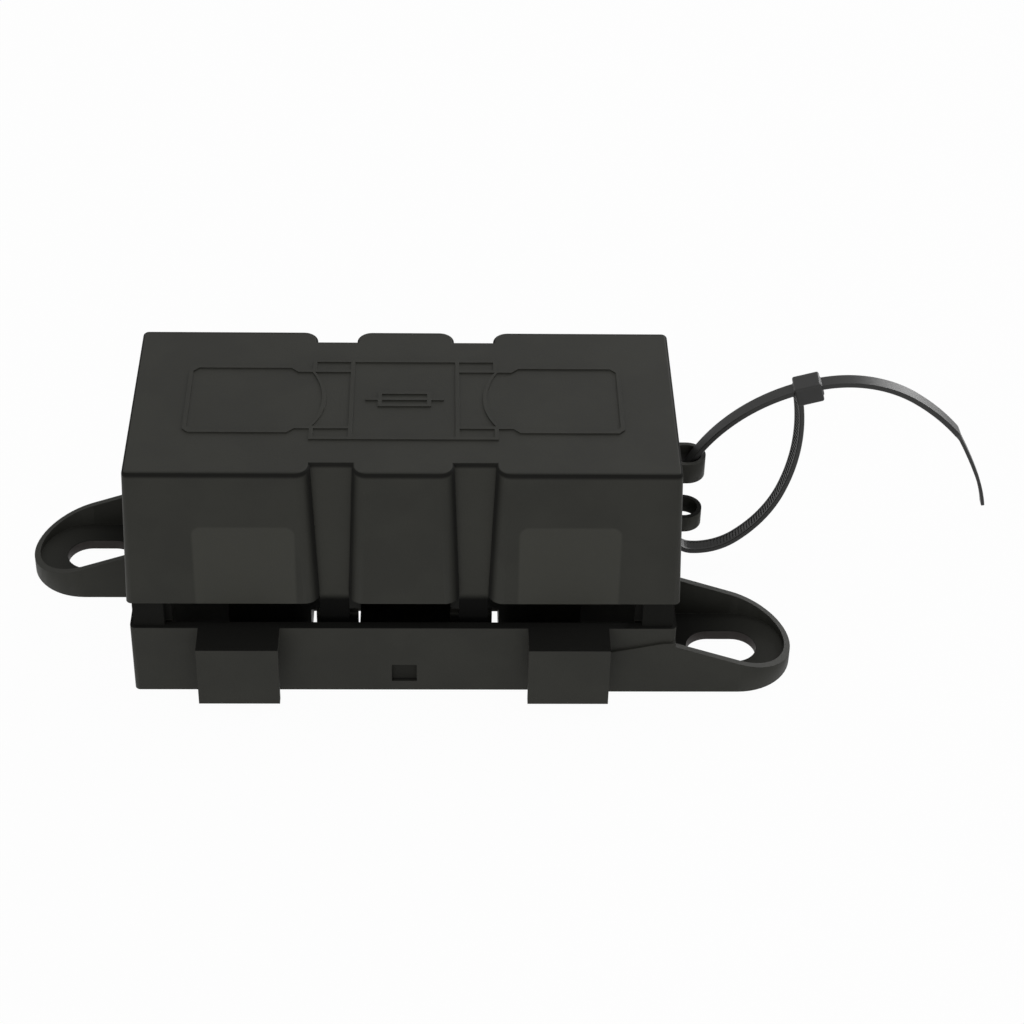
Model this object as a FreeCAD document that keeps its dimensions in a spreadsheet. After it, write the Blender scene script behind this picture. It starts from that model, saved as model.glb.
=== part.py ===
import FreeCAD, Part
import math
import os
import re

import Sketcher

# Fuse holder for a bolt-down high-current fuse, in millimetres and degrees.
# X runs along the holder, Y to its rear and Z up. The origin is the middle of the base's underside.
# Every size below goes into the sheet, and the pieces are bound to the sheet's cells.

SIZES = [
    ("base_length", 120.5, "base moulding, end wall to end wall"),
    ("base_width", 57.1, "base moulding, front wall to rear wall"),
    ("base_height", 18.2, "top of the base's side walls"),
    ("base_wall", 2.0, "thickness of the base's walls"),
    ("base_floor", 2.5, "thickness of the base's floor"),
    ("base_corner", 1.2, "radius of the base's upright corners"),
    ("rim_height", 24.8, "underside of the cover's rim above the base's underside"),
    ("cover_end_inset", 0.85, "cover's top face behind the base's end wall"),
    ("cover_side_inset", 1.65, "cover's top face behind the base's side wall"),
    ("cover_height", 34.5, "cover, rim to top face"),
    ("cover_draft", 2.07, "mould draft of the cover's walls, in degrees"),
    ("cover_wall", 2.0, "thickness of the cover's walls"),
    ("cover_roof", 2.2, "thickness of the cover's top"),
    ("cover_corner", 1.3, "radius of the cover's upright corners"),
    ("cover_edge", 0.7, "radius of the cover's top edge"),
    ("bay_inner", 10.9, "bay's flat face at the top, edge nearer the middle"),
    ("bay_outer", 19.8, "bay's flat face at the top, edge nearer the end"),
    ("bay_depth", 3.9, "bay's flat face behind the cover's face"),
    ("bay_round", 3.3, "convex radius between a bay and the cover's face"),
    ("bay_wall", 1.8, "thickness of the wall round a bay"),
    ("tongue_thick", 1.6, "tongue below the rim"),
    ("tongue_step", 0.1, "tongue's face behind the foot of the bay"),
    ("tongue_tip", 3.0, "tongue's lower end above the base's underside"),
    ("guard_outer", 19.5, "wall behind a tongue, edge nearer the end"),
    ("guard_inner", 10.2, "wall behind a tongue, edge nearer the middle"),
    ("guard_gap", 0.4, "that wall behind the tongue's back"),
    ("guard_thick", 1.5, "that wall"),
    ("guard_top", 17.2, "that wall's top"),
    ("port_radius", 9.5, "round cable port shared by cover and base"),
    ("post_width", 6.8, "corner post along the holder"),
    ("post_set_back", 0.8, "corner post behind the base's outer face"),
    ("post_thick", 2.6, "thickness of a corner post"),
    ("guide_rise", 5.0, "corner guide above the cover's rim"),
    ("guide_gap", 0.5, "corner guide to the cover's inner face"),
    ("guide_thick", 1.6, "thickness of a corner guide"),
    ("ear_reach", 14.8, "middle of an ear's round end, beyond the base's end wall"),
    ("ear_centre_y", 16.35, "middle of an ear's round end, off the long axis"),
    ("ear_radius", 12.8, "round end of an ear"),
    ("ear_floor", 2.6, "floor plate of an ear"),
    ("ear_border", 1.4, "border wall of an ear"),
    ("ear_rise", 14.2, "border wall's height where it meets the base"),
    ("ear_tip_rise", 3.7, "border wall's height at the ear's tip"),
    ("ear_ridge", 2.6, "highest point of the border wall, behind the base's end wall"),
    ("skirt_rise", 11.5, "ear's skirt beside the hook"),
    ("slot_width", 10.6, "mounting slot"),
    ("slot_length", 16.0, "mounting slot, end to end"),
    ("slot_reach", 11.9, "mounting slot's middle, beyond the base's end wall"),
    ("hook_centre", 36.35, "link hook's middle along the holder"),
    ("hook_width", 17.9, "link hook"),
    ("hook_reach", 7.6, "link hook's outer face in front of the base's wall"),
    ("hook_thick", 1.8, "plate and flange of a link hook"),
    ("hook_foot", 2.6, "link hook's lower end above the underside"),
    ("hook_notch", 0.35, "rear notch's clearance round a neighbour's hook"),
    ("pocket_width", 5.6, "small pocket in the front wall"),
    ("pocket_height", 4.8, "small pocket in the front wall"),
    ("pocket_foot", 2.6, "small pocket above the underside"),
    ("pocket_depth", 1.0, "small pocket's depth"),
    ("window_inner", 10.4, "floor window, edge nearer the middle"),
    ("window_outer", 21.3, "floor window, edge nearer the end"),
    ("window_gap", 0.5, "floor window to the wall behind a tongue"),
    ("rib_half", 1.3, "half the thickness of the floor's middle rib"),
    ("rib_height", 9.5, "top of the middle rib"),
    ("deck_height", 17.5, "platform that carries a stud and the fuse's blade"),
    ("deck_under", 9.5, "underside of the platform's overhang"),
    ("deck_gap", 0.5, "platform's inner edge to the fuse's housing"),
    ("deck_reach", 14.5, "platform's outer edge beyond the stud"),
    ("deck_half", 12.0, "half the platform's width"),
    ("core_wall", 1.8, "walls round the coring under a platform"),
    ("stud_pitch", 51.0, "stud to stud, as on the fuse"),
    ("stud_radius", 4.0, "stud's thread, M8"),
    ("stud_top", 40.0, "stud's end above the underside"),
    ("stud_bevel", 0.8, "bevel of that end"),
    ("stud_neck_foot", 29.7, "turned neck just above the nut"),
    ("stud_neck", 0.9, "height of that neck"),
    ("stud_neck_radius", 3.5, "neck"),
    ("stud_flange_radius", 8.0, "round flange flush with the platform"),
    ("stud_flange", 1.5, "thickness of the flange"),
    ("stud_head_flats", 13.0, "hexagon moulded into the platform"),
    ("stud_head", 4.8, "height of that hexagon"),
    ("seat_gap", 0.02, "moulding round the stud's head"),
    ("thread_gap", 0.04, "bore round the stud's thread"),
    ("blade_thick", 1.6, "fuse's metal strip"),
    ("blade_width", 16.0, "fuse's metal strip"),
    ("blade_reach", 8.8, "fuse's end beyond the stud"),
    ("blade_hole", 4.25, "radius of a blade's hole"),
    ("blade_neck", 5.0, "strip's width where it melts"),
    ("blade_neck_length", 12.0, "length of the narrow stretch"),
    ("housing_gap", 1.0, "fuse's insulating housing to the flat washer"),
    ("housing_width", 18.4, "fuse's insulating housing"),
    ("housing_half", 5.3, "height of each half of the housing"),
    ("housing_wall", 2.4, "walls of the housing"),
    ("housing_round", 1.6, "housing's upright corners"),
    ("washer_radius", 8.0, "flat washer"),
    ("washer_bore", 4.2, "bore of both washers, as a radius"),
    ("washer_thick", 1.6, "flat washer"),
    ("spring_radius", 7.1, "spring washer"),
    ("spring_thick", 2.0, "spring washer, pressed flat"),
    ("spring_split", 0.9, "gap in the spring washer"),
    ("nut_flats", 13.0, "nut across its flats"),
    ("nut_height", 6.5, "nut"),
    ("nut_chamfer", 0.6, "bevel of the nut's upper corners"),
    ("line_width", 0.9, "raised lines on the cover's top"),
    ("line_rise", 0.3, "height of those lines"),
    ("plan_y", 0.35, "middle of the raised drawing"),
    ("plan_long_half", 14.5, "long lines from the drawing's middle"),
    ("plan_blade_half", 10.6, "lines of the fuse's blades from the middle"),
    ("plan_body_x", 11.6, "ends of the fuse's body in the drawing"),
    ("plan_reach_x", 20.5, "ends of the long lines"),
    ("plan_nose_x", 17.6, "round nose of a cable lug in the drawing"),
    ("plan_neck_x", 23.7, "lug's neck, where it starts to widen"),
    ("plan_lug_half", 12.1, "lug's sides from the middle"),
    ("plan_lug_x", 47.4, "lug's far end"),
    ("plan_bevel", 1.3, "bevels of the lug's corners"),
    ("sign_half_x", 5.4, "rectangle of the plain fuse sign"),
    ("sign_half_y", 2.3, "rectangle of the plain fuse sign"),
    ("sign_line_half", 8.6, "line through the plain fuse sign"),
    ("tie_y", 15.6, "plane of the cable tie and of both rings"),
    ("ring_reach", 4.55, "axis of both rings, beyond the base's end wall"),
    ("ring_root", 0.7, "ring's root behind the base's end wall"),
    ("ring_radius", 4.4, "outside of a ring"),
    ("ring_hole", 3.4, "hole of a ring"),
    ("cover_ring_foot", 28.2, "cover's ring, lower face"),
    ("cover_ring_height", 5.3, "cover's ring"),
    ("base_ring_height", 4.2, "base's ring, flush with the wall's top"),
    ("tie_width", 3.6, "strap of the cable tie"),
    ("tie_thick", 1.2, "strap of the cable tie"),
    ("tie_reach", 2.7, "strap where it stands in the rings, beyond the base's end wall"),
    ("tie_start", 12.6, "height where the two runs of the strap are measured from"),
    ("tie_tip_width", 2.3, "thin end of the tie's tail"),
    ("tie_tip_thick", 0.8, "thin end of the tie's tail"),
    ("tie_head_length", 6.2, "tie's head along the strap"),
    ("tie_head_width", 5.7, "tie's head across the strap"),
    ("tie_head_height", 4.8, "tie's head"),
    ("tie_head_drop", 0.7, "strap above the middle of the head"),
    ("tie_head_bevel", 0.6, "bevels of the head's edges"),
    ("cut_over", 1.0, "how far a cut runs on past the moulding"),
]

# Sizes that follow from the cells, each by a formula on their names.
DERIVED = {
    "cover_length": "base_length - 2 * cover_end_inset",
    "cover_width": "base_width - 2 * cover_side_inset",
    "bay_back": "cover_width / 2 - bay_depth",
    "draft_run": "cover_height * tan(cover_draft)",
    "tongue_face": "bay_back + draft_run - tongue_step",
    "guard_face": "tongue_face - tongue_thick - guard_gap",
    "ear_centre_x": "base_length / 2 + ear_reach",
    "ear_ridge_x": "base_length / 2 - ear_ridge",
    "slot_centre_x": "base_length / 2 + slot_reach",
    "ring_x": "base_length / 2 + ring_reach",
    "tie_x": "base_length / 2 + tie_reach",
    "housing_length": "stud_pitch - 2 * (washer_radius + housing_gap)",
    "deck_inner": "housing_length / 2 + deck_gap",
    "deck_outer": "stud_pitch / 2 + deck_reach",
    "blade_length": "stud_pitch + 2 * blade_reach",
}

# The strap's run from the rings down and round to the head, its run from the rings up to the head,
# and its tail from there. Each stretch is (radius, turn in degrees), with a turn to the left counted
# positive, and (length, 0) for a straight one. Each starts where the last ends.
TIE_LOWER = [(2.0, 0), (4.7, 87.2), (14.7, 41.8), (31.6, 31.8), (50.3, 31.0)]
TIE_UPPER = [(7.3, 0), (26.1, -27.5), (41.5, -46.2)]
TIE_TAIL = [(41.5, -6.5), (28.6, -42.7), (48.6, -16.7)]
TIE_TIP = [(1.4, -10.9), (118.8, -6.3), (40.4, -13.0)]

doc = FreeCAD.newDocument("FuseHolder")
sheet = doc.addObject("Spreadsheet::Sheet", "Sizes")
for row, (alias, value, note) in enumerate(SIZES, start=1):
    sheet.set(f"A{row}", alias)
    sheet.set(f"B{row}", str(value))
    sheet.set(f"C{row}", note)
    sheet.setAlias(f"B{row}", alias)
doc.recompute()
ALIASES = {alias for alias, _, _ in SIZES}


def cells(formula):
    """A formula on size names as the sheet's own expression."""
    def written_out(found):
        word = found.group()
        if word in DERIVED:
            return "(" + cells(DERIVED[word]) + ")"
        return "Sizes." + word if word in ALIASES else word

    return re.sub(r"[a-z_]+", written_out, formula)


def size(formula):
    """What a formula on size names comes to now."""
    return float(sheet.evalExpression(cells(formula)))


def bind(thing, prop, formula):
    thing.setExpression(prop, cells(formula))


def new_body(label, x="0"):
    """An empty body, moved along the holder by x."""
    body = doc.addObject("PartDesign::Body", "Body_" + label)
    body.Label = label
    bind(body, "Placement.Base.x", x)
    return body


def sketch(body, plane, height, loops):
    """A sketch on an origin plane, raised by height. A loop is either a circle (x, y, radius) or a list of
    corners, anticlockwise. A corner's third entry makes the edge to the next corner an arc: "half" is
    half a circle to the corner above or below, and a formula is how far the arc stands out."""
    sk = body.newObject("Sketcher::SketchObject", "Sketch")
    origin = [f for f in body.Origin.OriginFeatures if f.Role == plane + "_Plane"]
    sk.AttachmentSupport = (origin[0], "")
    sk.MapMode = "FlatFace"
    bind(sk, "AttachmentOffset.Base.z", height)
    for loop in loops:
        if isinstance(loop, tuple):
            add_circle(sk, *loop)
        else:
            add_outline(sk, loop)
    return sk


def pin_point(sk, geometry, point, x, y):
    """Ties one point of a sketch to the origin by two formulas."""
    for kind, formula in (("DistanceX", x), ("DistanceY", y)):
        value = size(formula)
        if formula == "0":
            axis = -2 if kind == "DistanceX" else -1
            sk.addConstraint(Sketcher.Constraint("PointOnObject", geometry, point, axis))
            continue
        number = sk.addConstraint(Sketcher.Constraint(kind, -1, 1, geometry, point, value))
        bind(sk, f"Constraints[{number}]", formula)


def add_circle(sk, x, y, radius):
    centre = FreeCAD.Vector(size(x), size(y), 0)
    circle = sk.addGeometry(Part.Circle(centre, FreeCAD.Vector(0, 0, 1), size(radius)))
    pin_point(sk, circle, 3, x, y)
    number = sk.addConstraint(Sketcher.Constraint("Radius", circle, size(radius)))
    bind(sk, f"Constraints[{number}]", radius)


def arc_between(a, b, rise):
    """An arc from a round to b that stands the distance rise outside their straight line."""
    chord = b - a
    radius = (chord.Length ** 2 / 4 + rise ** 2) / (2 * rise)
    inward = FreeCAD.Vector(-chord.y, chord.x, 0).normalize()
    centre = (a + b) * 0.5 + inward * (radius - rise)
    start = math.atan2(a.y - centre.y, a.x - centre.x)
    swing = math.atan2(b.y - centre.y, b.x - centre.x) - start
    circle = Part.Circle(centre, FreeCAD.Vector(0, 0, 1), radius)
    return Part.ArcOfCircle(circle, start, start + swing % (2 * math.pi))


def add_outline(sk, corners):
    places = [FreeCAD.Vector(size(c[0]), size(c[1]), 0) for c in corners]
    edges = []
    for (_, _, *rise), a, b in zip(corners, places, places[1:] + places[:1]):
        if rise:
            stands = (b - a).Length / 2 if rise[0] == "half" else size(rise[0])
            edges.append(sk.addGeometry(arc_between(a, b, stands)))
        else:
            edges.append(sk.addGeometry(Part.LineSegment(a, b)))
    for i, (x, y, *_) in enumerate(corners):
        sk.addConstraint(Sketcher.Constraint("Coincident", edges[i - 1], 2, edges[i], 1))
        pin_point(sk, edges[i], 1, x, y)
    for edge, (x0, y0, *rise), (x1, y1, *_) in zip(edges, corners, corners[1:] + corners[:1]):
        if not rise:
            continue
        if rise[0] == "half":
            number = sk.addConstraint(Sketcher.Constraint("DistanceX", -1, 1, edge, 3, size(x0)))
            bind(sk, f"Constraints[{number}]", x0)
        else:
            square = f"(({x1}) - ({x0})) ^ 2 + (({y1}) - ({y0})) ^ 2"
            formula = f"(({square}) / 4 + ({rise[0]}) ^ 2) / (2 * ({rise[0]}))"
            number = sk.addConstraint(Sketcher.Constraint("Radius", edge, size(formula)))
            bind(sk, f"Constraints[{number}]", formula)


def rectangle(x0, x1, y0, y1):
    return [(x0, y0), (x1, y0), (x1, y1), (x0, y1)]


def pad(body, sk, length, down=False, both=False):
    return extrude(body, "PartDesign::Pad", sk, length, down, both)


def pocket(body, sk, length, up=False, both=False):
    return extrude(body, "PartDesign::Pocket", sk, length, up, both)


def extrude(body, kind, sk, length, reverse, both):
    feature = body.newObject(kind, kind.split("::")[1])
    feature.Profile = sk
    feature.Reversed = reverse
    if both:
        feature.SideType = "Symmetric"
    bind(feature, "Length", length)
    sk.Visibility = False
    return feature


def half_turn(body, originals):
    """Repeats features half a turn round the Z axis."""
    pattern = body.newObject("PartDesign::PolarPattern", "HalfTurn")
    pattern.Originals = originals
    pattern.Axis = ([f for f in body.Origin.OriginFeatures if f.Role == "Z_Axis"][0], [""])
    pattern.Angle = 360
    pattern.Occurrences = 2
    body.Tip = pattern
    return pattern


def mirror(body, originals, plane):
    pattern = body.newObject("PartDesign::Mirrored", "Mirrored")
    pattern.Originals = originals
    pattern.MirrorPlane = ([f for f in body.Origin.OriginFeatures if f.Role == plane + "_Plane"][0], [""])
    body.Tip = pattern
    return pattern


def fillet(body, radius, wanted):
    """Rounds the edges of the body's last feature that pass the test wanted(edge)."""
    doc.recompute()
    base = body.Tip
    names = [f"Edge{n}" for n, edge in enumerate(base.Shape.Edges, start=1) if wanted(edge)]
    feature = body.newObject("PartDesign::Fillet", "Fillet")
    feature.Base = (base, names)
    bind(feature, "Radius", radius)
    return feature


def lean_walls(body, angle, top, inside=False):
    """Drafts every upright flat face of the body so far, about its flat top face at height top. A wall
    leans outwards on its way down, and with inside=True it's the wall of a hollow."""
    doc.recompute()
    base = body.Tip
    walls, level = [], []
    for number, face in enumerate(base.Shape.Faces, start=1):
        if not isinstance(face.Surface, Part.Plane):
            continue
        rise = face.normalAt(0, 0).z
        if near(rise, 0, 0.01):
            walls.append(f"Face{number}")
        elif rise > 0 and near(face.CenterOfMass.z, size(top)):
            level.append(f"Face{number}")
    feature = body.newObject("PartDesign::Draft", "Draft")
    feature.Base = (base, walls)
    feature.NeutralPlane = (base, level[:1])
    feature.Reversed = inside
    bind(feature, "Angle", angle)
    return feature


def ends(edge):
    return edge.Vertexes[0].Point, edge.Vertexes[-1].Point


def upright(edge, low):
    """An edge that runs up the walls and is at least as long as low."""
    a, b = ends(edge)
    return abs(a.z - b.z) > low


def near(a, b, slack=0.05):
    return abs(a - b) < slack


def four_ways(x0, x1, y0, y1):
    """The same rectangle in all four quarters, as four outlines."""
    return [
        rectangle(x0, x1, y0, y1),
        rectangle(x0, x1, f"-({y1})", f"-({y0})"),
        rectangle(f"-({x1})", f"-({x0})", y0, y1),
        rectangle(f"-({x1})", f"-({x0})", f"-({y1})", f"-({y0})"),
    ]


def cavity_outline(length, width, x0, x1, y):
    """The cover's inside: a rectangle with a step inwards at each of the four bays."""
    side = [(f"-({length})", f"-({width})")]
    for a, b in ((f"-({x1})", f"-({x0})"), (x0, x1)):
        side += [(a, f"-({width})"), (a, f"-({y})"), (b, f"-({y})"), (b, f"-({width})")]
    side.append((length, f"-({width})"))
    opposite = [(f"-({a})", f"-({b})") for a, b in side]
    return side + opposite


def ring(body, foot, height):
    """A loop of the moulding that the cable tie is threaded through."""
    root = "base_length / 2 - ring_root"
    y0, y1 = "tie_y - ring_radius", "tie_y + ring_radius"
    outline = [(root, y0), ("ring_x", y0, "half"), ("ring_x", y1), (root, y1)]
    pad(body, sketch(body, "XY", foot, [outline]), height)
    hole = sketch(body, "XY", foot, [("ring_x", "tie_y", "ring_hole")])
    pocket(body, hole, height, up=True)


def make_cover():
    body = new_body("cover")
    top = "rim_height + cover_height"
    half_length, half_width = "cover_length / 2", "cover_width / 2"
    block = rectangle(f"-{half_length}", half_length, f"-{half_width}", half_width)
    pad(body, sketch(body, "XY", top, [block]), "cover_height", down=True)

    bays = four_ways("bay_inner", "bay_outer", "bay_back", "cover_width")
    pocket(body, sketch(body, "XY", top, bays), "cover_height")
    lean_walls(body, "cover_draft", top)
    face_y, face_x = size(half_width), size(half_length)
    bay_edges = (size("bay_inner"), size("bay_outer"))
    wall_run = size("cover_height") / 2

    def bay_corner(edge):
        high = max(ends(edge), key=lambda p: p.z)
        return upright(edge, wall_run) and near(abs(high.y), face_y) and any(
            near(abs(high.x), x) for x in bay_edges
        )

    def end_corner(edge):
        high = max(ends(edge), key=lambda p: p.z)
        return upright(edge, wall_run) and near(abs(high.y), face_y) and near(abs(high.x), face_x)

    def top_edge(edge):
        return all(near(p.z, size(top)) for p in ends(edge))

    fillet(body, "bay_round", bay_corner)
    fillet(body, "cover_corner", end_corner)
    fillet(body, "cover_edge", top_edge)

    inside = cavity_outline(
        "cover_length / 2 - cover_wall",
        "cover_width / 2 - cover_wall",
        "bay_inner - bay_wall",
        "bay_outer + bay_wall",
        "bay_back - bay_wall",
    )
    pocket(body, sketch(body, "XY", f"{top} - cover_roof", [inside]), "cover_height - cover_roof")
    lean_walls(body, "cover_draft", top, inside=True)

    narrow = ("bay_inner + draft_run", "bay_outer - draft_run")
    tongues = four_ways(*narrow, "tongue_face - tongue_thick", "tongue_face")
    pad(body, sketch(body, "XY", "rim_height", tongues), "rim_height - tongue_tip", down=True)
    port = sketch(body, "YZ", "0", [("0", "rim_height", "port_radius")])
    pocket(body, port, "2 * cover_length", both=True)
    ring(body, "cover_ring_foot", "cover_ring_height")
    add_raised_drawing(body)
    return body


def lug_outline(grow):
    """Outline of a cable lug in the drawing, its lines' middle moved outwards by grow."""
    lug, blade = f"(plan_lug_half + ({grow}))", f"(plan_blade_half + ({grow}))"
    far, nose = f"(plan_lug_x + ({grow}))", f"(plan_nose_x - ({grow}))"
    widen = "(plan_neck_x + plan_lug_half - plan_blade_half)"
    lower = [
        ("plan_reach_x", f"plan_y - {blade}"),
        ("plan_neck_x", f"plan_y - {blade}"),
        (widen, f"plan_y - {lug}"),
        (f"{far} - plan_bevel", f"plan_y - {lug}"),
        (far, f"plan_y - {lug} + plan_bevel"),
    ]
    upper = [(x, y.replace("plan_y - ", "plan_y + ").replace("+ plan_bevel", "- plan_bevel"))
             for x, y in reversed(lower)]
    x, y = upper[-1]
    upper[-1] = (x, y, f"plan_reach_x - {nose}")
    return lower + upper


def bar(x0, x1, y, across="line_width"):
    return rectangle(x0, x1, f"{y} - {across} / 2", f"{y} + {across} / 2")


def post(x, y0, y1):
    return rectangle(f"{x} - line_width / 2", f"{x} + line_width / 2", y0, y1)


def add_raised_drawing(body):
    """A plain drawing of the fuse with its two lugs, and the usual sign for a fuse, in raised lines."""
    top = "rim_height + cover_height"
    half = "line_width / 2"
    lug = pad(body, sketch(body, "XY", top, [lug_outline(half), lug_outline(f"-{half}")]), "line_rise")
    mirror(body, [lug], "YZ")
    sides = ("-", "+")
    bars = [bar("-plan_reach_x", "plan_reach_x", f"plan_y {way} plan_long_half") for way in sides]
    for way in sides:
        bars.append(bar("plan_body_x", "plan_reach_x", f"plan_y {way} plan_blade_half"))
        bars.append(bar("-plan_reach_x", "-plan_body_x", f"plan_y {way} plan_blade_half"))
    bars.append(bar("-sign_line_half", "sign_line_half", "plan_y"))
    pad(body, sketch(body, "XY", top, bars), "line_rise")
    posts = []
    for x in ("plan_body_x", "-plan_body_x"):
        posts.append(post(x, "plan_y - plan_long_half", "plan_y + plan_long_half"))
    for x in (f"(plan_reach_x - {half})", f"({half} - plan_reach_x)"):
        posts.append(post(x, "plan_y + plan_blade_half", "plan_y + plan_long_half"))
        posts.append(post(x, "plan_y - plan_long_half", "plan_y - plan_blade_half"))
    for grow in (half, f"-{half}"):
        x, y = f"(sign_half_x + {grow})", f"(sign_half_y + {grow})"
        posts.append(rectangle(f"-{x}", x, f"plan_y - {y}", f"plan_y + {y}"))
    pad(body, sketch(body, "XY", top, posts), "line_rise")


def make_base():
    body = new_body("base")
    x, y = "base_length / 2", "base_width / 2"
    pad(body, sketch(body, "XY", "0", [rectangle(f"-{x}", x, f"-{y}", y)]), "base_height")
    long_enough = size("base_height") / 2
    fillet(body, "base_corner", lambda edge: upright(edge, long_enough))
    inner_x, inner_y = f"{x} - base_wall", f"{y} - base_wall"
    tray = rectangle(f"-({inner_x})", inner_x, f"-({inner_y})", inner_y)
    pocket(body, sketch(body, "XY", "base_height", [tray]), "base_height - base_floor")

    add_posts(body)
    port = sketch(body, "YZ", "0", [("0", "rim_height", "port_radius")])
    pocket(body, port, "2 * base_length", both=True)
    add_ears(body)
    add_hooks(body)
    add_platforms(body)

    guards = four_ways("guard_inner", "guard_outer", "guard_face - guard_thick", "guard_face")
    pad(body, sketch(body, "XY", "base_floor / 2", guards), "guard_top - base_floor / 2")
    window_edge = "guard_face - guard_thick - window_gap"
    window = four_ways("window_inner", "window_outer", "rib_half", window_edge)
    pocket(body, sketch(body, "XY", "0", window), "base_floor", up=True)
    dent = rectangle("-pocket_width / 2", "pocket_width / 2", "pocket_foot", "pocket_foot + pocket_height")
    pocket(body, sketch(body, "XZ", "base_width / 2", [dent]), "pocket_depth")
    ring(body, "base_height - base_ring_height", "base_ring_height")
    return body


def corner_outlines(x, y, leg, thick):
    """An L in each corner, with its outer corner at x, y."""
    loops = []
    for sx, sy in ((1, 1), (-1, 1), (-1, -1), (1, -1)):
        corners = [
            (x, y),
            (f"{x} - ({leg})", y),
            (f"{x} - ({leg})", f"{y} - ({thick})"),
            (f"{x} - ({thick})", f"{y} - ({thick})"),
            (f"{x} - ({thick})", f"{y} - ({leg})"),
            (x, f"{y} - ({leg})"),
        ]
        placed = [(a if sx > 0 else f"-({a})", b if sy > 0 else f"-({b})") for a, b in corners]
        loops.append(placed if sx * sy > 0 else placed[::-1])
    return loops


def add_posts(body):
    """Corner posts that the cover's rim stands on, and guides that rise inside the cover."""
    x, y = "(base_length / 2 - post_set_back)", "(base_width / 2 - post_set_back)"
    posts = sketch(body, "XY", "base_floor", corner_outlines(x, y, "post_width", "post_thick"))
    pad(body, posts, "rim_height - base_floor")
    reach = "draft_run - cover_wall - guide_gap - guide_rise * tan(cover_draft)"
    guide_x, guide_y = f"(cover_length / 2 + {reach})", f"(cover_width / 2 + {reach})"
    guides = corner_outlines(guide_x, guide_y, "post_width", "guide_thick")
    pad(body, sketch(body, "XY", "base_floor", guides), "rim_height + guide_rise - base_floor")


def ear_outline(inset, root):
    y0 = f"-(ear_centre_y + ear_radius - ({inset}))"
    y1 = f"-(ear_centre_y - ear_radius + ({inset}))"
    return [(root, y0), ("ear_centre_x", y0, "half"), ("ear_centre_x", y1), (root, y1)]


def add_ears(body):
    """Two ears, the right one to the front and the left one to the rear."""
    root = "base_length / 2 - base_wall / 2"
    slab = pad(body, sketch(body, "XY", "0", [ear_outline("0", root)]), "ear_rise")
    skirt_left = "hook_centre + hook_width / 2"
    skirt = [(skirt_left, "0"), ("base_length / 2", "0"), ("base_length / 2", "ear_rise"),
             ("ear_ridge_x", "ear_rise"), (skirt_left, "skirt_rise")]
    skirt_face = "ear_centre_y + ear_radius"
    flange = pad(
        body,
        sketch(body, "XZ", skirt_face, [skirt]),
        f"{skirt_face} - base_width / 2 + base_wall / 2",
        down=True,
    )
    well = pocket(
        body,
        sketch(body, "XY", "ear_floor", [ear_outline("ear_border", "base_length / 2")]),
        "ear_rise",
        up=True,
    )
    tip_x = "ear_centre_x + ear_radius"
    slope = "(ear_rise - ear_tip_rise) / (ear_centre_x + ear_radius - ear_ridge_x)"
    at_wall = f"ear_rise - {slope} * (base_length / 2 - ear_ridge_x)"
    past_tip, past_top = f"{tip_x} + cut_over", "ear_rise + cut_over"
    above = [("base_length / 2", at_wall), (past_tip, f"ear_tip_rise - {slope} * cut_over"),
             (past_tip, past_top), ("base_length / 2", past_top)]
    bevel = pocket(body, sketch(body, "XZ", "0", [above]), "2 * base_width", both=True)
    half = "(slot_length - slot_width) / 2"
    y0, y1 = "-(ear_centre_y + slot_width / 2)", "-(ear_centre_y - slot_width / 2)"
    x0, x1 = f"slot_centre_x - {half}", f"slot_centre_x + {half}"
    slot = [(x0, y0), (x1, y0, "half"), (x1, y1), (x0, y1, "half")]
    hole = pocket(body, sketch(body, "XY", "0", [slot]), "ear_floor", up=True)
    half_turn(body, [slab, flange, well, bevel, hole])


def add_hooks(body):
    """Hooks that grip the next holder's rear wall, and the notches that a neighbour's hooks sit in."""
    wall = "-base_width / 2"
    face = "-(base_width / 2 + hook_reach)"
    profile = [(face, "hook_foot"), (f"{face} + hook_thick", "hook_foot"),
               (f"{face} + hook_thick", "base_height - hook_thick"),
               (f"{wall} + base_wall / 2", "base_height - hook_thick"),
               (f"{wall} + base_wall / 2", "base_height"), (face, "base_height")]
    hook = pad(body, sketch(body, "YZ", "hook_centre - hook_width / 2", [profile]), "hook_width")
    half = "hook_width / 2 + hook_notch"
    cut = rectangle(f"hook_centre - ({half})", f"hook_centre + {half}",
                    "base_height - hook_thick - hook_notch", "base_height + cut_over")
    rear = sketch(body, "XZ", "-(base_width / 2 - base_wall)", [cut])
    notch = pocket(body, rear, "base_wall + cut_over")
    mirror(body, [hook, notch], "YZ")


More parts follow.
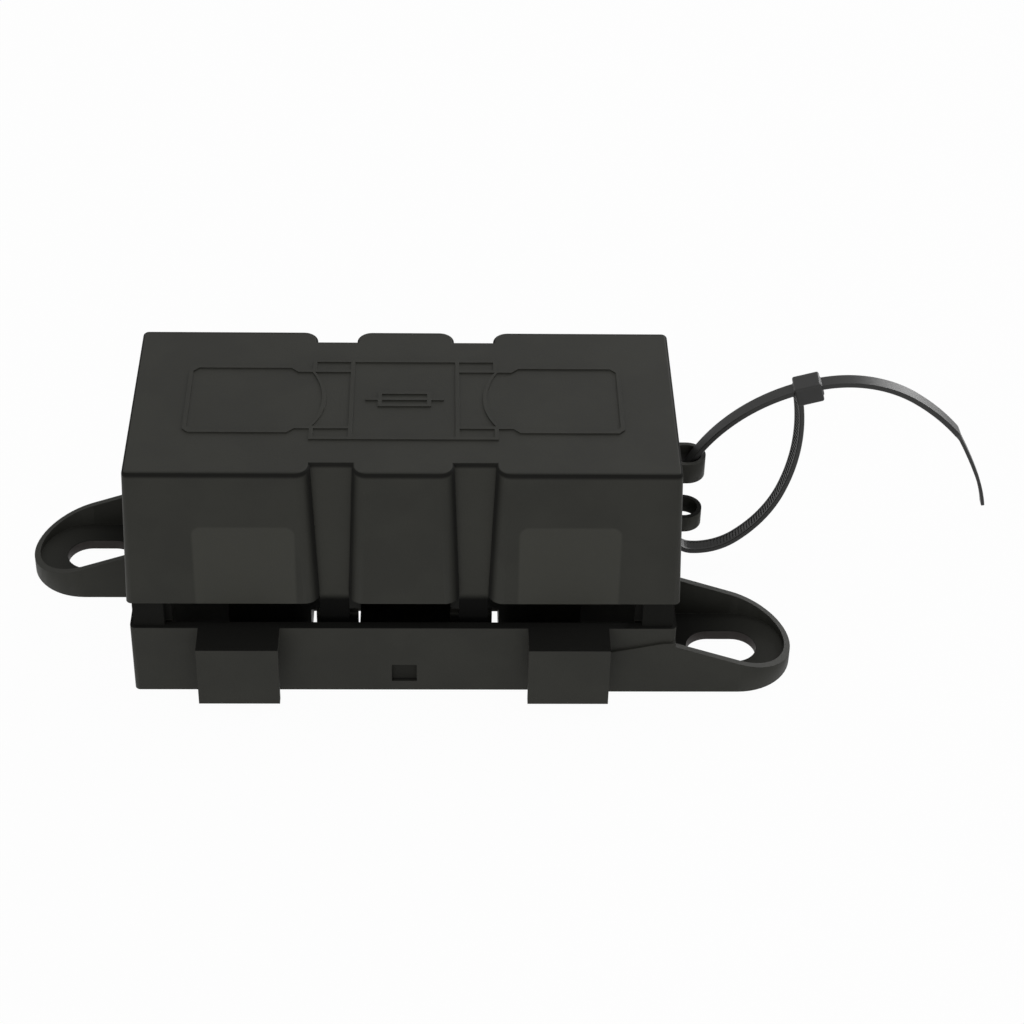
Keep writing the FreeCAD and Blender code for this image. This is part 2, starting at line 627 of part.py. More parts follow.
def add_platforms(body):
    """A hollow platform under each stud, joined by a low rib along the middle."""
    foot = "base_floor / 2"
    profile = [("window_outer", foot), ("deck_outer", foot), ("deck_outer", "deck_height"),
               ("deck_inner", "deck_height"), ("deck_inner", "deck_under"), ("window_outer", "deck_under")]
    deck = pad(body, sketch(body, "XZ", "0", [profile]), "2 * deck_half", both=True)
    core_y = "deck_half - core_wall"
    core = rectangle("window_outer + core_wall", "deck_outer - core_wall", f"-({core_y})", core_y)
    hollow = pocket(body, sketch(body, "XY", "0", [core]), "deck_under", up=True)
    flange = sketch(body, "XY", "deck_height", [("stud_pitch / 2", "0", "stud_flange_radius + seat_gap")])
    seat = pocket(body, flange, "stud_flange")
    under = "deck_height - stud_flange"
    hexagon = [hexagon_outline("stud_pitch / 2", "stud_head_flats / 2 + seat_gap")]
    nest = pocket(body, sketch(body, "XY", under, hexagon), "stud_head")
    mirror(body, [deck, hollow, seat, nest], "YZ")
    rib = rectangle("-window_outer", "window_outer", "-rib_half", "rib_half")
    pad(body, sketch(body, "XY", foot, [rib]), f"rib_height - {foot}")


def hexagon_outline(x, inner):
    """A hexagon whose flats lie the distance inner from its middle, two of them across X."""
    corner = f"({inner}) / cos(30)"
    loop = []
    for step in range(6):
        turn = 30 + 60 * step
        loop.append((f"{x} + {corner} * cos({turn})", f"{corner} * sin({turn})"))
    return loop


def side(sign):
    return f"{sign} * stud_pitch / 2"


def make_stud(label, sign):
    """One turned and headed piece: hexagon and flange in the platform, thread above it."""
    body = new_body(label, side(sign))
    under = "deck_height - stud_flange"
    head = [hexagon_outline("0", "stud_head_flats / 2")]
    pad(body, sketch(body, "XY", under, head), "stud_head", down=True)
    neck_top = "stud_neck_foot + stud_neck"
    outline = [("0", under), ("stud_flange_radius", under), ("stud_flange_radius", "deck_height"),
               ("stud_radius", "deck_height"), ("stud_radius", "stud_neck_foot"),
               ("stud_neck_radius", "stud_neck_foot"), ("stud_neck_radius", neck_top),
               ("stud_radius", neck_top), ("stud_radius", "stud_top - stud_bevel"),
               ("stud_radius - stud_bevel", "stud_top"), ("0", "stud_top")]
    turned = body.newObject("PartDesign::Revolution", "Turned")
    turned.Profile = sketch(body, "XZ", "0", [outline])
    turned.ReferenceAxis = (turned.Profile[0], ["V_Axis"])
    turned.Angle = 360
    return body


def make_washer(label, sign, foot, radius, thick):
    body = new_body(label, side(sign))
    loops = [("0", "0", radius), ("0", "0", "washer_bore")]
    pad(body, sketch(body, "XY", foot, loops), thick)
    return body


def make_spring_washer(label, sign, foot):
    body = make_washer(label, sign, foot, "spring_radius", "spring_thick")
    lean = "spring_thick / 2"
    cut = [(f"-spring_split / 2 - {lean}", foot), (f"spring_split / 2 - {lean}", foot),
           (f"spring_split / 2 + {lean}", f"{foot} + spring_thick"),
           (f"-spring_split / 2 + {lean}", f"{foot} + spring_thick")]
    pocket(body, sketch(body, "XZ", "0", [cut]), "2 * spring_radius")
    return body


def make_nut(label, sign, foot):
    """A hexagon nut, its upper corners bevelled by cutting it with a turned profile."""
    body = new_body(label, side(sign))
    outline = hexagon_outline("0", "nut_flats / 2")
    pad(body, sketch(body, "XY", foot, [outline, ("0", "0", "stud_radius + thread_gap")]), "nut_height")
    corner, top = "nut_flats / 2 / cos(30)", f"{foot} + nut_height"
    outside, low = f"{corner} + cut_over", f"{top} - nut_chamfer"
    corners = [(corner, low), (outside, low), (outside, top), ("nut_flats / 2", top)]
    cut = body.newObject("PartDesign::Groove", "Bevel")
    cut.Profile = sketch(body, "XZ", "0", [corners])
    cut.ReferenceAxis = (cut.Profile[0], ["V_Axis"])
    cut.Angle = 360
    return body


def make_fuse_element():
    """The fuse's metal strip, one stamping: two blades with a hole each and a narrow middle."""
    body = new_body("fuse_element")
    x, y = "blade_length / 2", "blade_width / 2"
    strip = sketch(body, "XY", "deck_height", [
        rectangle(f"-{x}", x, f"-{y}", y),
        ("stud_pitch / 2", "0", "blade_hole"),
        ("-stud_pitch / 2", "0", "blade_hole"),
    ])
    pad(body, strip, "blade_thick")
    neck = four_ways("-blade_neck_length / 2", "blade_neck_length / 2", "blade_neck / 2", "blade_width")
    pocket(body, sketch(body, "XY", "deck_height", neck[:2]), "blade_thick", up=True)
    return body


def make_housing(label, upper):
    """One half of the fuse's housing, with a groove for the strip and a hollow round its neck."""
    body = new_body(label)
    middle = "deck_height + blade_thick / 2"
    x, y = "housing_length / 2", "housing_width / 2"
    block = sketch(body, "XY", middle, [rectangle(f"-{x}", x, f"-{y}", y)])
    pad(body, block, "housing_half", down=not upper)
    high = size("housing_half") / 2
    fillet(body, "housing_round", lambda edge: upright(edge, high))
    groove_y = "blade_width / 2 + thread_gap"
    groove = rectangle(f"-{x} - cut_over", f"{x} + cut_over", f"-({groove_y})", groove_y)
    pocket(body, sketch(body, "XY", middle, [groove]), "blade_thick / 2", up=upper)
    hollow_x, hollow_y = f"{x} - housing_wall", f"{y} - housing_wall"
    hollow = rectangle(f"-({hollow_x})", hollow_x, f"-({hollow_y})", hollow_y)
    pocket(body, sketch(body, "XY", middle, [hollow]), "housing_half - housing_wall", up=upper)
    return body


def run_of_strap(x, z, heading, stretches, thick):
    """Follows the stretches and returns the strap's outline in the XZ plane and where it ends."""
    left, right = [], []
    for first, turn in stretches:
        if turn:
            radius = first
            swing = math.copysign(1, turn)
            middle = heading + swing * math.pi / 2
            cx, cz = x + radius * math.cos(middle), z + radius * math.sin(middle)
            points = []
            for share in (0.0, 0.5, 1.0):
                along = middle + math.pi + math.radians(turn) * share
                points.append((math.cos(along), math.sin(along)))
            for edge, shift in ((left, -swing * thick / 2), (right, swing * thick / 2)):
                reach = radius + shift
                arc = [FreeCAD.Vector(cx + reach * c, 0, cz + reach * s) for c, s in points]
                edge.append(Part.Arc(*arc).toShape())
            x, z = cx + radius * points[2][0], cz + radius * points[2][1]
            heading += math.radians(turn)
        else:
            ex, ez = x + first * math.cos(heading), z + first * math.sin(heading)
            for edge, shift in ((left, thick / 2), (right, -thick / 2)):
                dx, dz = -math.sin(heading) * shift, math.cos(heading) * shift
                start = FreeCAD.Vector(x + dx, 0, z + dz)
                edge.append(Part.LineSegment(start, FreeCAD.Vector(ex + dx, 0, ez + dz)).toShape())
            x, z = ex, ez
    caps = [
        Part.makeLine(left[0].Vertexes[0].Point, right[0].Vertexes[0].Point),
        Part.makeLine(left[-1].Vertexes[-1].Point, right[-1].Vertexes[-1].Point),
    ]
    return Part.Wire(Part.__sortEdges__(left + right + caps)), x, z, heading


def strap(wire, width):
    face = Part.Face(wire)
    face.translate(FreeCAD.Vector(0, size("tie_y") - width / 2, 0))
    return face.extrude(FreeCAD.Vector(0, width, 0))


def make_cable_tie():
    """One moulded tie, closed through both rings. Its strap lies in one upright plane."""
    x, z, thick = size("tie_x"), size("tie_start"), size("tie_thick")
    width = size("tie_width")
    down, up = -math.pi / 2, math.pi / 2
    lower, _, _, _ = run_of_strap(x, z, down, TIE_LOWER, thick)
    upper, head_x, head_z, heading = run_of_strap(x, z, up, TIE_UPPER, thick)
    tail, end_x, end_z, end_heading = run_of_strap(head_x, head_z, heading, TIE_TAIL, thick)
    tip, _, _, _ = run_of_strap(end_x, end_z, end_heading, TIE_TIP, size("tie_tip_thick"))
    length, height = size("tie_head_length"), size("tie_head_height")
    across, drop = size("tie_head_width"), size("tie_head_drop")
    corner = FreeCAD.Vector(-length / 2, -across / 2, -height / 2 - drop)
    head = Part.makeBox(length, across, height, corner)
    head = head.makeChamfer(size("tie_head_bevel"), head.Edges)
    head.rotate(FreeCAD.Vector(0, 0, 0), FreeCAD.Vector(0, 1, 0), -math.degrees(heading))
    head.translate(FreeCAD.Vector(head_x, size("tie_y"), head_z))
    straps = [strap(wire, width) for wire in (upper, tail)]
    solid = strap(lower, width).multiFuse([*straps, strap(tip, size("tie_tip_width")), head])
    tie = doc.addObject("Part::Feature", "Body_cable_tie")
    tie.Label = "cable_tie"
    tie.Shape = solid.removeSplitter()
    return tie


def make_all():
    blade_top = "deck_height + blade_thick"
    spring_foot = f"{blade_top} + washer_thick"
    nut_foot = f"{spring_foot} + spring_thick"
    pieces = [make_base(), make_cover(), make_cable_tie(), make_fuse_element()]
    pieces += [make_housing("fuse_housing_lower", False), make_housing("fuse_housing_upper", True)]
    for name, sign in (("left", "-1"), ("right", "1")):
        pieces.append(make_stud(f"stud_{name}", sign))
        pieces.append(make_washer(f"flat_washer_{name}", sign, blade_top, "washer_radius", "washer_thick"))
        pieces.append(make_spring_washer(f"spring_washer_{name}", sign, spring_foot))
        pieces.append(make_nut(f"nut_{name}", sign, nut_foot))
    return pieces


pieces = make_all()
doc.recompute()
for thing in doc.Objects:
    if {"Invalid", "Error"} & set(thing.State):
        raise RuntimeError(f"{thing.Label} failed: {thing.State}")
os.makedirs("parts", exist_ok=True)
for piece in pieces:
    shape = piece.Shape
    if shape.isNull() or not shape.isValid() or len(shape.Solids) != 1:
        raise RuntimeError(f"{piece.Label} is not one valid solid")
    box = shape.BoundBox
    spans = ((box.XMin, box.XMax), (box.YMin, box.YMax), (box.ZMin, box.ZMax))
    print(piece.Label, "%.0f mm3" % shape.Volume, *("%.2f to %.2f," % span for span in spans))
    shape.exportStep(f"parts/{piece.Label}.step")
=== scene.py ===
import math

import bmesh
import bpy
import numpy as np
from mathutils import Matrix, Vector


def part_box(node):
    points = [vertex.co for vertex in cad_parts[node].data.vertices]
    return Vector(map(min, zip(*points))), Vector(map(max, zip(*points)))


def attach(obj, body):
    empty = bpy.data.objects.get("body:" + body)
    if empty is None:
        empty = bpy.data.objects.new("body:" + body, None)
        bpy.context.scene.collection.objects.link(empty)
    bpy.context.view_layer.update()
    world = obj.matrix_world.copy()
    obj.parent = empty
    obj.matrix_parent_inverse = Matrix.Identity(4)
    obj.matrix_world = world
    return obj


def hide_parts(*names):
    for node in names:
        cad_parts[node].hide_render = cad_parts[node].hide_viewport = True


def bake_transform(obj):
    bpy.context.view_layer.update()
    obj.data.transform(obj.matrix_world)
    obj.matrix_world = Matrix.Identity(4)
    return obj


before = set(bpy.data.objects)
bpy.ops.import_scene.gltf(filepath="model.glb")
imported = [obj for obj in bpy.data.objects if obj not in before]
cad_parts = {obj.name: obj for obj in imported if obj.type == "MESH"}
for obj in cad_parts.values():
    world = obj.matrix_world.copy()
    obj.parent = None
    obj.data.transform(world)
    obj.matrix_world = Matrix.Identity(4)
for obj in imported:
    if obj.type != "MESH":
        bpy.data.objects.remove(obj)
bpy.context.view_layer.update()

MM = 0.001

# The camera stands in front of the holder's long side and above it.
CAMERA_PLACE = Vector((0.00742, -0.45885, 0.38717))
CAMERA_YAW = math.radians(2.095)
CAMERA_DIP = math.radians(38.0)
CAMERA_ROLL = math.radians(1.4685)
FOCAL_PIXELS = 2567.6
IMAGE_PIXELS = 1024
SENSOR = 36.0
CLIPPING = (0.01, 20)

# Colours of the finishes, as linear red, green and blue.
NYLON = (0.033, 0.033, 0.028)
NYLON_TIE = (0.032, 0.032, 0.031)
# The next colour is painted light, not a finish: the paler brownish grey of light reflected on the ears' slot
# walls.
SLOT_WALL_PAINTED_LIGHT = (0.075, 0.066, 0.062)
ZINC = (0.62, 0.60, 0.54)
SPRING = (0.36, 0.34, 0.31)
TIN = (0.74, 0.73, 0.70)
HOUSING = (0.36, 0.33, 0.27)

# How much the two black nylons mirror, for the shader's own socket.
MOULDING_GLOSS = 0.16
TIE_GLOSS = 0.25

# Mouldings: points this near are one, faces that meet flatter are one, and sharper edges are rounded.
MERGE_DISTANCE = 0.002 * MM
FLAT_ANGLE = math.radians(0.6)
SHARP_ANGLE = math.radians(32)
MOULDING_EDGE = 0.22 * MM

# The cable tie, as in the source: a strap in one upright plane. Each stretch of a run is (radius, turn to
# the left in degrees), or (length, 0) for a straight one, in millimetres. So is the step between points.
TIE_Y = 15.6 * MM
TIE_START = (62.95, 12.6)
TIE_LOWER = ((2.0, 0), (4.7, 87.2), (14.7, 41.8), (31.6, 31.8), (50.3, 31.0))
TIE_UPPER = ((7.3, 0), (26.1, -27.5), (41.5, -46.2))
TIE_TAIL = ((41.5, -6.5), (28.6, -42.7), (48.6, -16.7))
TIE_TIP = ((1.4, -10.9), (118.8, -6.3), (40.4, -13.0))
ROUTE_STEP = 0.25
TIE_WIDTH = 3.6 * MM
TIE_THICK = 1.2 * MM
TIE_CHAMFER = 0.16 * MM
TIE_GROOVE = 0.2 * MM
TIE_RAIL = 0.6 * MM
TIE_TWIST = math.radians(16)
TIE_TWIST_REACH = 42 * MM
TOOTH_PITCH = 0.85 * MM
TOOTH_LENGTH = 0.97 * TOOTH_PITCH
TOOTH_DROP = 0.92

# The strap narrows over TIP_BLEND at its thin tip, and its teeth end as far before that.
TIP_WIDTH = 2.3 * MM
TIP_THICK = 0.8 * MM
TIP_GROOVE = 0.01 * MM
TIP_BLEND = MM
HEAD_SIZE = Vector((6.2, 5.7, 4.8)) * MM
HEAD_DROP = 0.7 * MM
HEAD_ROUND = 0.5 * MM
COLLAR_SIZE = Vector((6.7, 4.446, 2.88)) * MM

# Sizes of the cover that its finish follows. Its long walls lean outwards on the way down, and half its
# width is given at the top.
COVER_TOP = 59.3 * MM
COVER_RIM = 24.8 * MM
COVER_HALF_WIDTH = 26.9 * MM
COVER_SLOPE = math.tan(math.radians(2.07))
BAY_CENTRE = 15.4 * MM
BAY_REACH = 7.6 * MM
BAY_DEPTH = 3.9 * MM

# The lighter patches on the cover's outer panels: the middle between the two, how far each patch's middle
# is from it, half a patch's width without its corners, the foot of those corners, and their radius.
PATCH_MIDDLE = 0.8 * MM
PATCH_CENTRE = 35.2 * MM
PATCH_REACH = 8.9 * MM
PATCH_HEIGHT = 43.3 * MM
PATCH_CORNER = 1.7 * MM

# Sizes of the base that its finish follows: its walls, the ears' wells and the pocket in the front wall.
BASE_TOP = 18.2 * MM
BASE_END = 60.25 * MM
BASE_FRONT = -28.55 * MM
EAR_CENTRE_X = 75.05 * MM
EAR_CENTRE_Y = 16.35 * MM
EAR_WELL_RADIUS = 11.4 * MM
EAR_FLOOR = 2.6 * MM
POCKET_HALF_WIDTH = 2.8 * MM
POCKET_TOP = 7.4 * MM

# The studs and their M8 thread, which starts THREAD_START above the flange. Above the neck it is deep at
# once, because its lead counts from THREAD_LEAD below, and it fades THREAD_RUN_OUT before the tip.
STUD_DECK = 17.5 * MM
STUD_FLANGE_FOOT = 16 * MM
STUD_HEAD_RADIUS = 7.4 * MM
STUD_NECK_FOOT = 29.7 * MM
STUD_NECK_TOP = 30.6 * MM
STUD_NECK_RADIUS = 3.5 * MM
THREAD_PITCH = 1.25 * MM
THREAD_ROOT = 3.45 * MM
THREAD_CREST = 3.98 * MM
THREAD_START = 2.2 * MM
THREAD_LEAD = MM
THREAD_RUN_OUT = 0.5 * MM
THREAD_SIDES = 36
ROWS_PER_PITCH = 8
STUD_SHARP_ANGLE = math.radians(40)

# Heat stakes on the fuse's housing.
STAKE_RADIUS = 1.1 * MM
STAKE_RISE = 0.3 * MM
STAKE_INSET = 2.6 * MM
STAKE_SINK = 0.02 * MM

# The studio. World and floor look white where they are seen, mirrored or seen through glass. For other
# rays the world has WORLD_LEVEL and the floor its own colour, and the share without glow takes the shadow.
WORLD_LEVEL = 0.22
FLOOR_REACH = 3.0
FLOOR_DROP = 0.05 * MM
FLOOR_COLOUR = (0.9, 0.9, 0.9, 1)
FLOOR_GLOW = 0.97

# Lamps: name, place, the point faced, width, height and watts.
MIDDLE = (0, 0, 25 * MM)
LAMPS = (
    ("front_light", (-0.15, -1.1, 0.30), MIDDLE, 1.2, 0.35, 3.8),
    ("top_light", (0.1, 0.1, 1.3), MIDDLE, 0.9, 0.9, 5),
    ("rim_light", (0.86, 1.2, 0.4), (0.11, TIE_Y, 45 * MM), 0.6, 0.8, 8),
)


class Value:
    """A shader socket that takes part in ordinary arithmetic; each operator adds a Math node."""

    def __init__(self, paint, socket):
        self.paint = paint
        self.socket = socket

    def _math(self, operation, *terms):
        return self.paint.node("ShaderNodeMath", {"operation": operation}, list(terms))

    def __add__(self, other):
        return self._math("ADD", self, other)

    def __sub__(self, other):
        return self._math("SUBTRACT", self, other)

    def __mul__(self, other):
        return self._math("MULTIPLY", self, other)

    def __radd__(self, other):
        return self._math("ADD", other, self)

    def __rsub__(self, other):
        return self._math("SUBTRACT", other, self)

    def __rmul__(self, other):
        return self._math("MULTIPLY", other, self)

    def __abs__(self):
        return self._math("ABSOLUTE", self)

    def above(self, floor):
        """The value, or floor where that is more."""
        return self._math("MAXIMUM", self, floor)

    def root(self):
        return self._math("SQRT", self)

    def over(self, low, high):
        """0 up to low, 1 from high, smooth between."""
        kind = {"interpolation_type": "SMOOTHSTEP", "clamp": True}
        return self.paint.node("ShaderNodeMapRange", kind, {"Value": self, "From Min": low, "From Max": high})


class Paint:
    """One material's node tree."""

    def __init__(self, name):
        self.material = bpy.data.materials.new(name)
        self.material.use_nodes = True
        self.tree = self.material.node_tree
        self.tree.nodes.clear()

    def node(self, kind, settings=None, inputs=None, output=0):
        """A node with its settings, then its sockets' values or links, by name or in order."""
        made = self.tree.nodes.new(kind)
        for key, value in (settings or {}).items():
            setattr(made, key, value)
        pairs = inputs.items() if isinstance(inputs, dict) else enumerate(inputs or [])
        for key, value in pairs:
            if isinstance(value, Value):
                self.tree.links.new(value.socket, made.inputs[key])
            else:
                made.inputs[key].default_value = value
        return Value(self, made.outputs[output]) if made.outputs else None

    def place(self):
        """The point in the object's own space, in metres."""
        return self.node("ShaderNodeTexCoord", output="Object")

    def noise(self, place, lump, detail=3.0, roughness=0.5):
        """Noise whose lumps are about lump metres across."""
        inputs = {"Vector": place, "Scale": 1 / lump, "Detail": detail, "Roughness": roughness}
        return self.node("ShaderNodeTexNoise", None, inputs)

    def parts(self, vector):
        return [self.node("ShaderNodeSeparateXYZ", None, [vector], output=i) for i in range(3)]

    def blend(self, share, low, high):
        """Colour low at share 0 and high at share 1."""
        settings = {"data_type": "RGBA"}
        mixed = self.node("ShaderNodeMix", settings, {0: share}, output=2)
        for index, colour in ((6, low), (7, high)):
            target = mixed.socket.node.inputs[index]
            if isinstance(colour, Value):
                self.tree.links.new(colour.socket, target)
            else:
                target.default_value = (*colour, 1)
        return mixed

    def bump(self, height, depth, strength):
        inputs = {"Height": height, "Distance": depth, "Strength": strength}
        return self.node("ShaderNodeBump", None, inputs)

    def finish(self, **sockets):
        """The surface: names of the shader's sockets with _ for a space."""
        inputs = {key.replace("_", " "): value for key, value in sockets.items()}
        surface = self.node("ShaderNodeBsdfPrincipled", None, inputs)
        self.node("ShaderNodeOutputMaterial", None, {"Surface": surface})
        return self.material


def shade(colour, factor):
    return tuple(c * factor for c in colour)


def moulded_nylon(name, shading):
    """Matt black glass-filled nylon with a fine eroded texture. The function shading(paint, place, colour)
    returns the colour with what is particular to the moulding and its painted shade, and the shade's share,
    which also makes the surface rougher."""
    paint = Paint(name)
    place = paint.place()
    cloud = paint.noise(place, lump=14 * MM, detail=2)
    grain = paint.noise(place, lump=0.35 * MM, detail=4, roughness=0.65)
    share = cloud.over(0.35, 0.65) * 0.7 + grain * 0.3
    # The shading paints shade into the colour and also returns where and how strongly it is painted.
    colour, shade_and_dullness = shading(paint, place, paint.blend(share, shade(NYLON, 0.88), shade(NYLON, 1.12)))
    texture = paint.bump(grain, depth=0.05 * MM, strength=0.55)
    roughness = 0.50 + 0.12 * cloud + 0.38 * shade_and_dullness
    return paint.finish(Base_Color=colour, Roughness=roughness, Normal=texture,
                        Specular_IOR_Level=MOULDING_GLOSS)


def cover_shading(paint, place, colour):
    """A faint lighter patch with rounded corners on each outer panel, and paler bays. Painted shade darkens
    the rounded top edge, the steep sides of the bays and the tongues below the rim, where little light gets."""
    x, y, z = paint.parts(place)
    below_top = 1 - z.over(COVER_TOP - 0.08 * MM, COVER_TOP - 0.02 * MM)
    depth = COVER_HALF_WIDTH + (COVER_TOP - z) * COVER_SLOPE - abs(y)
    by_bay = (1 - abs(abs(x) - BAY_CENTRE).over(BAY_REACH, BAY_REACH + 0.6 * MM)) * below_top
    aside = (abs(abs(x - PATCH_MIDDLE) - PATCH_CENTRE) - PATCH_REACH).above(0)
    higher = (z - PATCH_HEIGHT).above(0)
    patch = 1 - (aside * aside + higher * higher).root().over(PATCH_CORNER, PATCH_CORNER + 0.8 * MM)
    on_wall = 1 - depth.over(0.8 * MM, 1.2 * MM)
    bay = by_bay * depth.over(BAY_DEPTH - 0.2 * MM, BAY_DEPTH - 0.05 * MM) * 0.4
    colour = paint.blend((patch * on_wall).above(bay), colour, shade(NYLON, 1.55))
    brow = below_top.above(abs(y).over(COVER_HALF_WIDTH - 1.4 * MM, COVER_HALF_WIDTH - 0.1 * MM) * 0.7)
    edge = z.over(COVER_TOP - 1.4 * MM, COVER_TOP - 0.5 * MM) * brow * 0.8
    on_flat = depth.over(BAY_DEPTH - 0.5 * MM, BAY_DEPTH - 0.1 * MM)
    bay_side = depth.over(0.3 * MM, 1.8 * MM) * (1 - on_flat)
    tongue = 1 - z.over(COVER_RIM - 2.3 * MM, COVER_RIM - 0.1 * MM)
    # Painted shade: the top edge, the steep sides of the bays and the tongues below the rim go nearly black.
    shade_and_dullness = edge.above(bay_side * by_bay * 0.75).above(tongue)
    return paint.blend(shade_and_dullness, colour, shade(NYLON, 0.05)), shade_and_dullness


def base_shading(paint, place, colour):
    """Painted shade above the side walls, in the front wall's small pocket and in the wells of the ears,
    where little light gets in. The walls of the ears' slots are paler with painted reflected light."""
    x, y, z = paint.parts(place)
    past = (abs(x) - EAR_CENTRE_X).above(0)
    aside = abs(y) - EAR_CENTRE_Y
    from_centre = (past * past + aside * aside).root()
    inside = 1 - from_centre.over(EAR_WELL_RADIUS - 0.3 * MM, EAR_WELL_RADIUS + 0.1 * MM)
    # The ears are on the diagonal where x and y have opposite signs.
    on_ear = abs(x).over(BASE_END + 0.05 * MM, BASE_END + 0.25 * MM) * (0 - x * y).over(0, MM * MM)
    well = inside * on_ear
    over_floor = z.over(EAR_FLOOR - 0.3 * MM, EAR_FLOOR - 0.1 * MM)
    # Painted light: the walls of the slots below the wells' floor take the paler colour.
    colour = paint.blend(well * (1 - over_floor), colour, SLOT_WALL_PAINTED_LIGHT)
    shut_in = 1 - abs(x).over(60 * MM, 90 * MM) * 0.75
    # Painted shade above the side walls and in the ears' wells, weaker towards the ears' outer ends.
    shade_and_dullness = (well * shut_in * over_floor).above(z.over(BASE_TOP - 0.25 * MM, BASE_TOP - 0.05 * MM))
    behind_front = y.over(BASE_FRONT + 0.35 * MM, BASE_FRONT + 0.55 * MM)
    in_wall = behind_front * (1 - y.over(BASE_FRONT + 1.35 * MM, BASE_FRONT + 1.55 * MM))
    in_width = 1 - abs(x).over(POCKET_HALF_WIDTH - 0.1 * MM, POCKET_HALF_WIDTH)
    # Painted shade in the front wall's small pocket.
    pocket = in_wall * 0.6 * in_width * (1 - z.over(POCKET_TOP - 0.1 * MM, POCKET_TOP))
    shade_and_dullness = shade_and_dullness.above(pocket)
    return paint.blend(shade_and_dullness, colour, shade(NYLON, 0.2)), shade_and_dullness


def tie_nylon():
    """Smooth black nylon, a little glossier than the mouldings."""
    paint = Paint("tie_nylon")
    place = paint.place()
    cloud = paint.noise(place, lump=5 * MM)
    colour = paint.blend(cloud, shade(NYLON_TIE, 0.9), shade(NYLON_TIE, 1.25))
    texture = paint.bump(paint.noise(place, lump=0.6 * MM), depth=0.03 * MM, strength=0.2)
    return paint.finish(Base_Color=colour, Roughness=0.34 + 0.1 * cloud, Normal=texture,
                        Specular_IOR_Level=TIE_GLOSS)


def plated_metal(name, colour, roughness):
    """Plated steel or copper: fine marks and a cloudy plating."""
    paint = Paint(name)
    place = paint.place()
    cloud = paint.noise(place, lump=2.5 * MM, detail=4, roughness=0.6)
    marks = paint.noise(place, lump=0.18 * MM, detail=2)
    tint = paint.blend(cloud, shade(colour, 0.92), shade(colour, 1.06))
    texture = paint.bump(marks, depth=0.01 * MM, strength=0.35)
    return paint.finish(Base_Color=tint, Metallic=1.0, Roughness=roughness + 0.1 * cloud, Normal=texture)


def housing_plastic():
    """The fuse's pale housing, with a fine texture."""
    paint = Paint("housing_plastic")
    place = paint.place()
    cloud = paint.noise(place, lump=6 * MM)
    colour = paint.blend(cloud, shade(HOUSING, 0.9), shade(HOUSING, 1.1))
    texture = paint.bump(paint.noise(place, lump=0.3 * MM), depth=0.02 * MM, strength=0.5)
    return paint.finish(Base_Color=colour, Roughness=0.48 + 0.1 * cloud, Normal=texture)


def new_piece(name, mesh, material, body):
    piece = bpy.data.objects.new(name, mesh)
    bpy.context.scene.collection.objects.link(piece)
    mesh.materials.clear()
    mesh.materials.append(material)
    if body:
        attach(piece, body)
    return piece


def plain_mesh(obj):
    """The object's shape with its modifiers applied, as a mesh of its own."""
    found = bpy.context.evaluated_depsgraph_get()
    return bpy.data.meshes.new_from_object(obj.evaluated_get(found))


def softened_copy(node):
    """A moulding's mesh with its flat faces joined up and its sharp edges rounded."""
    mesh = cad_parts[node].data.copy()
    form = bmesh.new()
    form.from_mesh(mesh)
    bmesh.ops.remove_doubles(form, verts=form.verts, dist=MERGE_DISTANCE)
    bmesh.ops.dissolve_limit(form, angle_limit=FLAT_ANGLE, verts=form.verts, edges=form.edges)
    form.to_mesh(mesh)
    form.free()
    holder = bpy.data.objects.new("softening", mesh)
    bpy.context.scene.collection.objects.link(holder)
    rounding = holder.modifiers.new("rounding", "BEVEL")
    rounding.width = MOULDING_EDGE
    rounding.segments = 2
    rounding.limit_method = "ANGLE"
    rounding.angle_limit = SHARP_ANGLE
    rounding.use_clamp_overlap = True
    rounding.harden_normals = True
    result = plain_mesh(holder)
    bpy.data.objects.remove(holder)
    return result


def followed(x, z, heading, stretches):
    """Points along a run of the strap's middle, close together, in millimetres, and its last heading."""
    spots = [(x, z)]
    for radius, turn in stretches:
        length = radius * math.radians(abs(turn)) if turn else radius
        count = max(2, round(length / ROUTE_STEP))
        swing = math.radians(turn) / count
        step = 2 * radius * math.sin(abs(swing) / 2) if turn else length / count
        for _ in range(count):
            heading += swing / 2
            x, z = x + step * math.cos(heading), z + step * math.sin(heading)
            heading += swing / 2
            spots.append((x, z))
    return spots, heading


def tie_routes():
    """The strap's middle from the head's foot round to the tip, where the head sits, and its heading."""
    lower, _ = followed(*TIE_START, -math.pi / 2, TIE_LOWER)
    upper, heading = followed(*TIE_START, math.pi / 2, TIE_UPPER)
    tail, after = followed(*upper[-1], heading, TIE_TAIL)
    tip, _ = followed(*tail[-1], after, TIE_TIP)
    return lower[::-1] + upper[1:] + tail[1:] + tip[1:], upper[-1], heading, tail[-1]


def strap_frames(route):
    """Points, directions, inward normals and sideways axes at even steps along the strap's middle."""
    dense = np.array([(x * MM, TIE_Y, z * MM) for x, z in route])
    steps = np.linalg.norm(np.diff(dense, axis=0), axis=1)
    reach = np.concatenate([[0], np.cumsum(steps)])
    even = np.linspace(0, reach[-1], int(reach[-1] / (TOOTH_PITCH / 2)) + 1)
    points = np.stack([np.interp(even, reach, dense[:, i]) for i in range(3)], 1)
    along = np.gradient(points, axis=0)
    along /= np.linalg.norm(along, axis=1)[:, None]
    across = np.tile([0.0, 1.0, 0.0], (len(points), 1))
    inward = np.cross(across, along)
    left = np.clip(1 - even / TIE_TWIST_REACH, 0, 1)
    twist = TIE_TWIST * left * left * (3 - 2 * left)
    cos, sin = np.cos(twist)[:, None], np.sin(twist)[:, None]
    return points, along, inward * cos - across * sin, across * cos + inward * sin


